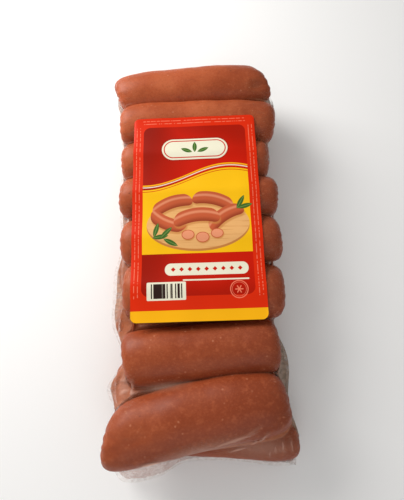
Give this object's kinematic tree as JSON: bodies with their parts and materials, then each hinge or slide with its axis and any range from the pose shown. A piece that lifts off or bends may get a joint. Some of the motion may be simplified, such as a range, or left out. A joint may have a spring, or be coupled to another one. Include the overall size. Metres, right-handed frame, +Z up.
{
  "type": "vacuum pack of sausage links",
  "caption": "Vacuum pack of short fat sausage links lying across it in two nested layers, in tight clear film with a thin sealed edge and a printed label on top.",
  "frame": {"origin": "middle of the pack in plan, at the height of the surface it lies on", "axes": "+Z up, out of the labelled side; +Y along the pack to the end where the label starts; +X along the links, to the right with the label upright"},
  "size_m": [0.132, 0.31, 0.0605],
  "materials": {
    "sausage_in_film": "reddish-brown sausage skin seen through tight clear film, satin",
    "label_print": "smooth coated label, red with yellow fields, soft gloss",
    "sausage_skin": "moist reddish-brown sausage casing, satin, with faint pale and dark specks",
    "clear_film": "clear vacuum film, glossy, hazy and greyish where it stands off the meat"
  },
  "bodies": {
    "root": {"sealed_pack": "sausage_in_film", "label": "label_print"}
  },
  "joints": []
}
